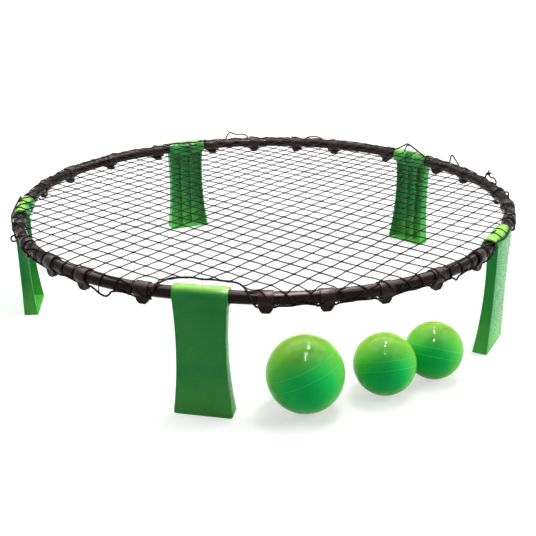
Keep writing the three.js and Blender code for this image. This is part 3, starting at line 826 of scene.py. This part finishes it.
def plastic_material(name, dark, pale, roughness, grain, bump_strength, ends=(), painted_shade_points=None, **constants):
    """Moulded plastic: uneven gloss, a fine grain, cloudy colour and pale rub marks along the edges. Painted
    light brightens its ends towards other colours, each between two heights. Painted shade darkens chosen
    points: an attribute and a colour."""
    material, tree, shader = new_material(name, **constants)
    place = object_place(tree)
    stretched = add_node(tree, "ShaderNodeMapping", {"Vector": place, "Scale": (1.0, 1.0, 6.0)})
    rubs = noise(tree, stretched.outputs["Vector"], 160.0, 6.0, Roughness=0.65)
    edges = add_node(tree, "ShaderNodeNewGeometry").outputs["Pointiness"]
    worn = maths(tree, "MULTIPLY", value_between(tree, edges, 0.0, 1.0, 0.53, 0.62),
                 value_between(tree, rubs, 0.0, 1.0, 0.42, 0.66), clamped=True)
    body = ramp(tree, noise(tree, place, 14.0, 5.0), (0.3, dark), (0.72, pale))
    # Painted light at the ends: each end turns to a lighter colour between two heights.
    for lit_colour, start, end in ends:
        height = add_node(tree, "ShaderNodeSeparateXYZ", {"Vector": place}).outputs["Z"]
        body = coloured_over(tree, value_between(tree, height, 0.0, 1.0, start, end), body, lit_colour)
    # Painted shade on the chosen points.
    if painted_shade_points:
        share = add_node(tree, "ShaderNodeAttribute", attribute_name=painted_shade_points[0]).outputs["Fac"]
        body = coloured_over(tree, share, body, painted_shade_points[1])
    scuffed = tuple(min(1.0, channel * 1.25 + 0.03) for channel in pale)
    finish_shader(tree, shader, coloured_over(tree, worn, body, scuffed),
                  value_between(tree, rubs, *roughness, 0.3, 0.75), noise(tree, place, grain, 3.0),
                  bump_strength, bump_depth=0.0004)
    return material


tube_material = plastic_material("black_brown_tube", TUBE_DARK, TUBE_PALE, roughness=(0.20, 0.32),
                                 grain=900.0, bump_strength=0.08, Specular_IOR_Level=0.11,
                                 Specular_Tint=(1.0, 0.74, 0.70, 1.0))


def copy_of(pattern, name, turn):
    """A copy with its own mesh, turned round the middle of the set or set beside it by a matrix."""
    piece = pattern.copy()
    piece.data = pattern.data.copy()
    piece.name = piece.data.name = name
    piece.data.transform(turn)
    scene.collection.objects.link(piece)
    return piece


for index, name in enumerate(TUBE_NAMES):
    tube = copy_of(tube_pattern, f"tube_{name}", Matrix.Rotation(tube_azimuth(index), 4, "Z"))
    tube.data.materials.append(tube_material)
    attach(tube, "ring")
    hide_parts(f"rim_tube_{name}")
bpy.data.objects.remove(tube_pattern)


# ---- Hook collars ----------------------------------------
# Twenty-five moulded sleeves that slide on the tubes. Each has a tapered tab below that turns inwards
# and up into a hook, and the edge cord lies in its crook. They are satin, a little paler than the tube.

SLEEVE_RADIUS = 0.0118
SLEEVE_WALL = 0.0015
TAB_OUT = 0.0064  # outer face of the tab
TAB_WALL = 0.003
TAB_TOP = -0.0095
TAB_SHOULDER = -0.017
TAB_BOTTOM = -0.022
CROOK_FLOOR = -0.0195
LIP_OUT = -0.0004  # outer face of the hook's lip
LIP_IN = -0.0026
LIP_TOP = -0.0165
TAB_ROOT_WIDTH = 0.0235
TAB_SHOULDER_WIDTH = 0.019
TAB_TIP_WIDTH = 0.0115
TAB_CORNER = 0.0018
DISH_TOP = -0.012
DISH_RIM = 0.0022
DISH_DEPTH = 0.0009
COLLAR_EDGE = 0.0006
ALONG_X = (0, math.pi / 2, 0)
COLLAR_DARK = (0.006, 0.0030, 0.0028)
COLLAR_PALE = (0.020, 0.0105, 0.0098)

sleeve = cylinder(TUBE_SIDES, SLEEVE_RADIUS, 2 * SLEEVE_HALF, end_fill_type="NOTHING", rotation=ALONG_X)
modify(sleeve, "SOLIDIFY", thickness=SLEEVE_WALL, offset=-1)
round_edges(sleeve, COLLAR_EDGE, 2, sharper_than=50)

tab = block((-TAB_ROOT_WIDTH / 2, TAB_OUT - TAB_WALL, TAB_BOTTOM), (TAB_ROOT_WIDTH / 2, TAB_OUT, TAB_TOP))
edit(tab)
for height in (CROOK_FLOOR, TAB_SHOULDER):
    slice_through((0, 0, height), (0, 0, 1))
pick("FACE", lambda centre, normal: normal.y < -0.9 and centre.z < CROOK_FLOOR)
extrude((0, LIP_OUT - (TAB_OUT - TAB_WALL), 0))
extrude((0, LIP_IN - LIP_OUT, 0))
pick("FACE", lambda centre, normal: normal.z > 0.9 and centre.y < LIP_OUT and centre.z < TAB_SHOULDER)
extrude((0, 0, LIP_TOP - CROOK_FLOOR))
for height, width in ((TAB_BOTTOM, TAB_TIP_WIDTH), (CROOK_FLOOR, (TAB_TIP_WIDTH + TAB_SHOULDER_WIDTH) / 2),
                      (TAB_SHOULDER, TAB_SHOULDER_WIDTH), (LIP_TOP, TAB_SHOULDER_WIDTH)):
    pick("VERT", lambda place, normal: abs(place.z - height) < 0.0002)
    narrow(width / TAB_ROOT_WIDTH, 1, (0, 0, 0))
pick("EDGE", lambda middle, way: abs(way.y) > 0.9 and middle.z < TAB_BOTTOM + 0.0002
     and abs(middle.x) > TAB_TIP_WIDTH * 0.4)
bevel(TAB_CORNER, 3)
# The tab's outer face is dished between two low ribs.
pick("FACE", lambda centre, normal: normal.y > 0.9 and TAB_BOTTOM < centre.z < DISH_TOP)
bpy.ops.mesh.inset(thickness=DISH_RIM)
extrude((0, -DISH_DEPTH, 0))
round_edges(tab, COLLAR_EDGE, 2, sharper_than=30)
only(sleeve)
tab.select_set(True)
bpy.ops.object.join()
collar_pattern = sleeve
shade(collar_pattern, smooth_to=35)

collar_material = plastic_material("satin_brown_collar", COLLAR_DARK, COLLAR_PALE, roughness=(0.28, 0.44),
                                   grain=1400.0, bump_strength=0.25, Specular_IOR_Level=0.14,
                                   Specular_Tint=(1.0, 0.76, 0.72, 1.0))
for tube, name in enumerate(TUBE_NAMES):
    for number, along in enumerate(collars[tube], start=1):
        middle = beside_rim(tube, along, 0, 0)
        turn = tube_azimuth(tube) + along / arc_radius - math.pi / 2
        collar = copy_of(collar_pattern, f"collar_{name}_{number}",
                         Matrix.Translation(middle) @ Matrix.Rotation(turn, 4, "Z"))
        collar.data.materials.append(collar_material)
        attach(collar, "ring")
        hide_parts(f"net_hook_{name}_{number}")
bpy.data.objects.remove(collar_pattern)


# ---- Legs ------------------------------------------------
# Five green moulded legs. The outer plate is narrowest above its middle, with side walls, a sole and two
# ribs behind it, so that each leg is a channel. Its top is rolled round the tube and turns on it.

KNUCKLE_RADIUS = 0.01453
KNUCKLE_BORE = 0.01063
KNUCKLE_SIDES = 64
KNUCKLE_GROOVE = 0.019  # width of the groove
GROOVE_DEPTH = 0.0032
GROOVE_INSIDE = -0.003  # the groove lies further in than this
PLATE_SET_BACK = 0.0001  # the plate meets the knuckle just below its middle
TOP_WIDTH, WAIST_WIDTH, FOOT_WIDTH = 0.083, 0.076, 0.093
TOP_DEPTH, WAIST_DEPTH, FOOT_DEPTH = 0.0185, 0.017, 0.0256
WAIST_HEIGHT = 0.118
PLATE_STEPS = 12  # up the curve of the plate
LEG_WALL = 0.003
SOLE_CORNER = 0.005
RIB_WIDTH = 0.0024
RIB_DEPTH = 0.008
RIB_SPACING = 0.0233
RIB_EDGE = 0.0006
RIB_TOP = -0.0185
CHANNEL_TOP = -0.0175  # below the centre of the tube
LEG_EDGE = 0.0009
LEG_DARK = (0.018, 0.28, 0.062)
LEG_PALE = (0.050, 0.37, 0.066)
# Painted light: the top of the knuckle turns paler and yellower, as if lit from above.
TOP_PAINTED_LIGHT = ((0.25, 0.56, 0.07), 0.2015, 0.2078)  # a colour, where it starts and where it is full
# Painted light: the foot turns lighter towards the sole, as if lit by light bounced up from the floor.
FOOT_PAINTED_LIGHT = ((0.095, 0.50, 0.078), 0.07, 0.0)
# Painted shade: the floor of the groove is darker green.
GROOVE_PAINTED_SHADE = (0.012, 0.20, 0.055)


def over_leg(top, waist, foot, height):
    """A smooth curve through the values at the top, the waist and the foot of a leg."""
    t = 1 - height / rim_height
    w = 1 - WAIST_HEIGHT / rim_height
    return (top * (t - w) * (t - 1) / w + waist * t * (t - 1) / (w * (w - 1)) + foot * t * (t - w) / (1 - w))


def combine(piece, other, operation):
    """Joins another solid to a piece or cuts the piece with it, and removes the other."""
    modify(piece, "BOOLEAN", operation=operation, object=other, solver="EXACT")
    bpy.data.objects.remove(other)


# The plate is drawn in the leg's own frame: X along the tube, Y outwards, Z up from the tube's centre.
plate_face = KNUCKLE_RADIUS - PLATE_SET_BACK
leg_pattern = block((-TOP_WIDTH / 2, plate_face - TOP_DEPTH, -rim_height), (TOP_WIDTH / 2, plate_face, 0))
edit(leg_pattern)
levels = [-rim_height + SOLE_CORNER + step * (rim_height - SOLE_CORNER + CHANNEL_TOP + LEG_WALL) / PLATE_STEPS
          for step in range(PLATE_STEPS + 1)]
for level in levels:
    slice_through((0, 0, level), (0, 0, 1))
for level in [-rim_height] + levels:
    height = rim_height + level
    width = over_leg(TOP_WIDTH, WAIST_WIDTH, FOOT_WIDTH, height)
    depth = over_leg(TOP_DEPTH, WAIST_DEPTH, FOOT_DEPTH, height)
    pick("VERT", lambda place, normal: abs(place.z - level) < 0.0001)
    narrow(width / TOP_WIDTH, depth / TOP_DEPTH, (0, plate_face, 0))
# Round the two lower corners, then sink the channel from behind.
pick("EDGE", lambda middle, way: abs(way.y) > 0.9 and middle.z < -rim_height + 0.0001
     and abs(middle.x) > FOOT_WIDTH / 3)
bevel(SOLE_CORNER * 0.95, 5)
pick("FACE", lambda centre, normal: normal.y < -0.9 and centre.z < CHANNEL_TOP + LEG_WALL)
bpy.ops.mesh.inset(thickness=LEG_WALL)
extrude((0, 0.004, 0))
narrow(1, 0, (0, plate_face - LEG_WALL, 0))
round_edges(leg_pattern, LEG_EDGE, 3, sharper_than=40)

# The knuckle is a short tube with a shallow groove across the middle of its upper inner half.
knuckle = cylinder(KNUCKLE_SIDES, KNUCKLE_RADIUS, TOP_WIDTH, rotation=ALONG_X)
edit(knuckle)
for side in (-KNUCKLE_GROOVE / 2, KNUCKLE_GROOVE / 2):
    slice_through((side, 0, 0), (1, 0, 0))
pick("FACE", lambda centre, normal: abs(centre.x) < KNUCKLE_GROOVE / 2 and centre.y < GROOVE_INSIDE
     and abs(normal.x) < 0.5)
raise_faces(-GROOVE_DEPTH)
round_edges(knuckle, LEG_EDGE, 2, sharper_than=60)

for across in (-RIB_SPACING / 2, RIB_SPACING / 2):
    rib = block((across - RIB_WIDTH / 2, KNUCKLE_RADIUS - LEG_WALL - RIB_DEPTH, -rim_height + LEG_WALL / 2),
                (across + RIB_WIDTH / 2, KNUCKLE_RADIUS - LEG_WALL / 2, RIB_TOP))
    edit(rib)
    pick("EDGE", lambda middle, way: middle.y < KNUCKLE_RADIUS - LEG_WALL - RIB_DEPTH / 2)
    bevel(RIB_EDGE, 2)
    combine(leg_pattern, rib, "UNION")
combine(leg_pattern, knuckle, "UNION")
bore = cylinder(KNUCKLE_SIDES, KNUCKLE_BORE, TOP_WIDTH * 1.5, rotation=ALONG_X)
combine(leg_pattern, bore, "DIFFERENCE")
shade(leg_pattern, smooth_to=32)

# The points on the floor of the groove are picked out for a painted shade, which keeps it dark as if the cord
# shaded it.
painted_groove_shade = leg_pattern.data.attributes.new("painted_groove_shade", "FLOAT", "POINT")
for vertex, mark in zip(leg_pattern.data.vertices, painted_groove_shade.data):
    x, y, z = vertex.co
    depth = KNUCKLE_RADIUS - math.hypot(y, z)
    inside = abs(x) < KNUCKLE_GROOVE / 2 + 0.0002 and y < GROOVE_INSIDE and z > CHANNEL_TOP
    mark.value = 1.0 if inside and GROOVE_DEPTH / 2 < depth < KNUCKLE_RADIUS - KNUCKLE_BORE - 0.0002 else 0.0

# The leg has painted light at its top and foot, and painted shade in its groove.
leg_material = plastic_material("green_leg", LEG_DARK, LEG_PALE, roughness=(0.20, 0.34), grain=700.0,
                                bump_strength=0.012, ends=[TOP_PAINTED_LIGHT, FOOT_PAINTED_LIGHT],
                                painted_shade_points=("painted_groove_shade", GROOVE_PAINTED_SHADE), Specular_IOR_Level=0.1)
for index, name in enumerate(LEG_NAMES):
    azimuth = leg_azimuth(index)
    middle = Vector((leg_radius * math.cos(azimuth), leg_radius * math.sin(azimuth), rim_height))
    leg = copy_of(leg_pattern, f"channel_leg_{name}",
                  Matrix.Translation(middle) @ Matrix.Rotation(azimuth - math.pi / 2, 4, "Z"))
    leg.data.materials.clear()
    leg.data.materials.append(leg_material)
    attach(leg, f"leg_{name}")
    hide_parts(f"leg_{name}")
bpy.data.objects.remove(leg_pattern)


# ---- Balls and valves ------------------------------------
# Three hollow balls of green vinyl, moulded in two halves. Two low ridges run round each ball beside
# its seam. A soft plug in a small bore low on its side closes the valve.

BALL_RIDGE = 0.0002
RIDGE_WIDTH = 0.0005
RIDGE_SPREAD = 0.145  # of the ball's radius, from the middle of the pair to each ridge
RIDGE_COLOUR = (0.20, 0.80, 0.26)
RIDGE_SHOWS = 0.7
VALVE_RADIUS = 0.0027
VALVE_BORE = 0.0030
VALVE_SIDES = 32
VALVE_DEPTH = 0.0060
VALVE_SUNK = 0.0004
BORE_DEPTH = 0.0068
PLUG_EDGE = 0.0004
DIMPLE_RIM = 0.0013
DIMPLE_DEPTH = 0.0012
DIMPLE_TAPER = 0.45
VALVE_TILT = math.radians(52)
VALVE_AZIMUTHS = [math.radians(262), math.radians(292), math.radians(312)]
PLUG_DARK = (0.006, 0.075, 0.022)
PLUG_PALE = (0.012, 0.12, 0.035)
SEAM_AXES = [(-0.453, 0.118, 0.884), (-0.178, 0.363, 0.915), (0.12, 0.407, 0.905)]
SEAM_SHIFTS = [0.15, 0.02, -0.03]  # of the radius, along the axis
# A painted shade, a deep green patch, lies on the near side of each ball; away from it the green is painted
# lighter and yellower, as if lit at the top and edges. The patch is wider than it is high.
SHADE_PATCH_AXES = [(0.25, -0.93, 0.02), (0.12, -0.95, 0.0), (-0.12, -0.95, 0.02)]
SHADE_PATCH_LONG_WAY = (0.93, 0.1, 0.25)
SHADE_PATCH_SHAPE = (0.78, 1.12)  # a larger number is a shorter patch
SHADE_PATCH_DEPTH = 0.75
# The greens by distance from the patch: painted shade near 0, painted light at 1.
BALL_SHADE_TO_LIGHT_GREENS = [(0.0, (0.001, 0.56, 0.105)), (1.0, (0.29, 0.54, 0.045)), (0.3, (0.006, 0.60, 0.100)),
               (0.62, (0.12, 0.58, 0.065))]


def ball_material(name, radius, centre, shade_patch_axis):
    """Glossy green vinyl, with painted light and shade: a deep green painted shade patch, turning
    yellow-green away from it as painted light.
    """
    material, tree, shader = new_material(name, Subsurface_Weight=0.08, Subsurface_Radius=(0.4, 1.0, 0.2),
                                          Subsurface_Scale=0.004, Specular_IOR_Level=0.05)
    facing = Vector(shade_patch_axis).normalized()
    across = facing.cross(Vector(SHADE_PATCH_LONG_WAY)).normalized()
    turn = Matrix((across.cross(facing), across, facing)).to_euler()
    place = object_place(tree)
    shade_patch_place = place
    for mapping in ({"Location": tuple(-Vector(centre) / radius), "Scale": (1 / radius,) * 3},
                    {"Rotation": tuple(turn)},
                    {"Location": (0, 0, -SHADE_PATCH_DEPTH), "Scale": (*SHADE_PATCH_SHAPE, SHADE_PATCH_DEPTH)}):
        shade_patch_place = add_node(tree, "ShaderNodeMapping",
                               {"Vector": shade_patch_place, **mapping}).outputs["Vector"]
    reach = add_node(tree, "ShaderNodeVectorMath", {0: shade_patch_place}, operation="LENGTH").outputs["Value"]
    cloud = noise(tree, place, 22.0, 4.0)
    uneven = maths(tree, "MULTIPLY_ADD", cloud, 0.22, reach)
    # Painted shade in the patch and painted light away from it, broken up by the cloud.
    body = ramp(tree, value_between(tree, uneven, 0.0, 1.0, 0.2, 1.5), *BALL_SHADE_TO_LIGHT_GREENS)
    ridge = add_node(tree, "ShaderNodeAttribute", attribute_name="ridge").outputs["Fac"]
    finish_shader(tree, shader, coloured_over(tree, maths(tree, "MULTIPLY", ridge, RIDGE_SHOWS), body,
                                              RIDGE_COLOUR),
                  value_between(tree, cloud, 0.05, 0.12, 0.3, 0.7), noise(tree, place, 700.0, 3.0),
                  bump_strength=0.05, bump_depth=0.0003)
    return material


valve_material = plastic_material("dark_green_plug", PLUG_DARK, PLUG_PALE, roughness=(0.5, 0.75),
                                  grain=1500.0, bump_strength=0.25, Specular_IOR_Level=0.35)

for index in range(3):
    low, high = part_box(f"ball_{index + 1}")
    radius = high.z / 2
    centre = Vector(((low.x + high.x) / 2, (low.y + high.y) / 2, radius))
    ball = new_solid(bpy.ops.mesh.primitive_uv_sphere_add, segments=72, ring_count=36, radius=radius)
    edit(ball)
    ridges = [(SEAM_SHIFTS[index] + side * RIDGE_SPREAD) * radius for side in (-1, 1)]
    for ridge in ridges:
        for edge in (-RIDGE_WIDTH / 2, RIDGE_WIDTH / 2):
            slice_through((0, 0, ridge + edge), (0, 0, 1))
    pick("FACE", lambda spot, normal: min(abs(spot.z - ridge) for ridge in ridges) < RIDGE_WIDTH / 2)
    raise_faces(BALL_RIDGE)
    finish_editing()
    on_ridge = ball.data.attributes.new("ridge", "FLOAT", "POINT")
    for vertex, mark in zip(ball.data.vertices, on_ridge.data):
        mark.value = 1.0 if vertex.co.length > radius + BALL_RIDGE / 2 else 0.0
    ball.rotation_euler = Vector(SEAM_AXES[index]).to_track_quat("Z", "Y").to_euler()
    ball.location = centre
    place_applied(ball)

    azimuth = VALVE_AZIMUTHS[index]
    way = Vector((math.cos(azimuth) * math.cos(VALVE_TILT), math.sin(azimuth) * math.cos(VALVE_TILT),
                  -math.sin(VALVE_TILT)))
    turn = way.to_track_quat("Z", "Y").to_euler()
    valve_bore = cylinder(VALVE_SIDES, VALVE_BORE, 2 * BORE_DEPTH, location=centre + way * radius,
                          rotation=turn)
    combine(ball, valve_bore, "DIFFERENCE")
    shade(ball, smooth_to=40)
    ball.name = ball.data.name = f"play_ball_{index + 1}"
    ball.data.materials.clear()
    ball.data.materials.append(ball_material(f"green_vinyl_{index + 1}", radius, centre, SHADE_PATCH_AXES[index]))
    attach(ball, f"ball_{index + 1}")
    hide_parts(f"ball_{index + 1}")

    # The plug has a rounded rim and a dimple for the pump needle.
    plug = cylinder(VALVE_SIDES, VALVE_RADIUS, VALVE_DEPTH)
    edit(plug)
    pick("FACE", lambda spot, normal: normal.z > 0.9)
    bevel(PLUG_EDGE, 3)
    pick("FACE", lambda spot, normal: normal.z > 0.99)
    bpy.ops.mesh.inset(thickness=DIMPLE_RIM)
    extrude((0, 0, -DIMPLE_DEPTH))
    narrow(DIMPLE_TAPER, DIMPLE_TAPER, (0, 0, 0))
    finish_editing()
    plug.rotation_euler = turn
    plug.location = centre + way * (radius - VALVE_SUNK - VALVE_DEPTH / 2)
    place_applied(plug)
    shade(plug, smooth_to=40)
    plug.name = plug.data.name = f"valve_plug_{index + 1}"
    plug.data.materials.append(valve_material)
    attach(plug, f"ball_{index + 1}")
    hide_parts(f"ball_{index + 1}_valve")


# ---- Floor and light -------------------------------------
# A white studio floor that runs on into a white background. Soft boxes overhead and at both sides light
# the set, and others show only in its gloss. The room gives light from behind and is dark in front.

FLOOR_SIZE = 30.0
FLOOR_COLOUR = 0.52
FLOOR_UNEVEN = 0.01
FLOOR_LIFT = 0.53  # shown over what the lamps give
FAR_LIFT = 0.9
SHADOW_REACH = 0.75  # no shadow falls further out than this
ROOM_LEVEL = 0.50  # what the bright side of the room gives as light
ROOM_DIM = 0.05  # share of it on the near side
NEAR_SIDE = (0.0, -0.98, 0.2)

floor = new_solid(bpy.ops.mesh.primitive_plane_add, size=FLOOR_SIZE)
floor.name = "studio_floor"
material, tree, shader = new_material("white_paper", Roughness=0.9, Specular_IOR_Level=0.0,
                                      Emission_Color=(1, 1, 1, 1))
place = object_place(tree)
paper = ramp(tree, noise(tree, place, 3.0, 2.0), (0.0, (FLOOR_COLOUR - FLOOR_UNEVEN,) * 3),
             (1.0, (FLOOR_COLOUR + FLOOR_UNEVEN,) * 3))
tree.links.new(paper, shader.inputs["Base Color"])


def background_ray(tree):
    """1 for the rays that show the background: seen straight on, in a reflection or through glass."""
    ray = add_node(tree, "ShaderNodeLightPath").outputs
    seen = maths(tree, "MAXIMUM", ray["Is Camera Ray"], ray["Is Glossy Ray"])
    return maths(tree, "MAXIMUM", seen, ray["Is Transmission Ray"])


distance = add_node(tree, "ShaderNodeVectorMath", {0: place}, operation="LENGTH").outputs["Value"]
lift = value_between(tree, distance, FLOOR_LIFT, FAR_LIFT, SHADOW_REACH, 2 * SHADOW_REACH)
tree.links.new(maths(tree, "MULTIPLY", background_ray(tree), lift), shader.inputs["Emission Strength"])
floor.data.materials.append(material)

world = bpy.data.worlds.new("studio")
world.use_nodes = True
scene.world = world
tree = world.node_tree
way = add_node(tree, "ShaderNodeTexCoord").outputs["Generated"]
towards_front = add_node(tree, "ShaderNodeVectorMath", {0: way, 1: NEAR_SIDE}, operation="DOT_PRODUCT")
bright_side = value_between(tree, towards_front.outputs["Value"], 1.0, ROOM_DIM, 0.0, 0.7)
room = maths(tree, "MULTIPLY", bright_side, ROOM_LEVEL)
background = tree.nodes["Background"]
background.inputs["Color"].default_value = (1, 1, 1, 1)
tree.links.new(maths(tree, "MAXIMUM", room, background_ray(tree)), background.inputs["Strength"])


def soft_box(name, place, aim, width, height, power, only_mirrored=False):
    """A flat lamp, which either lights the set or shows in its glossy surfaces."""
    data = bpy.data.lights.new(name, "AREA")
    data.shape = "RECTANGLE"
    data.size = width
    data.size_y = height
    data.energy = power
    lamp = bpy.data.objects.new(name, data)
    lamp.location = place
    lamp.rotation_euler = (Vector(aim) - Vector(place)).to_track_quat("-Z", "Y").to_euler()
    lamp.visible_camera = False
    lamp.visible_glossy = only_mirrored
    lamp.visible_diffuse = not only_mirrored
    scene.collection.objects.link(lamp)


# Each lamp's place, what it aims at, its width and length, and its power in watts.
soft_box("overhead_lamp", (0.2, -0.25, 2.4), (0.2, -0.25, 0), 0.3, 2.0, 20)
soft_box("high_right_box", (0.6, 0.3, 2.3), (0.0, 0.05, 0), 0.8, 0.6, 27)
soft_box("left_box", (-2.2, 0.1, 1.0), (0, 0.1, 0.1), 1.2, 1.3, 45)
soft_box("right_box", (2.2, 0.3, 1.0), (0, 0.1, 0.1), 1.2, 1.3, 40)
soft_box("mirrored_strip", (0.24, -0.35, 2.0), (0.24, -0.35, 0), 0.15, 2.0, 140, only_mirrored=True)
soft_box("mirrored_spot", (0.2, 1.32, 2.0), (0.2, 0, 0.1), 0.16, 0.11, 8, only_mirrored=True)
soft_box("mirrored_ceiling", (0.0, 0.7, 2.2), (0.0, 0.7, 0), 4.4, 3.4, 380, only_mirrored=True)
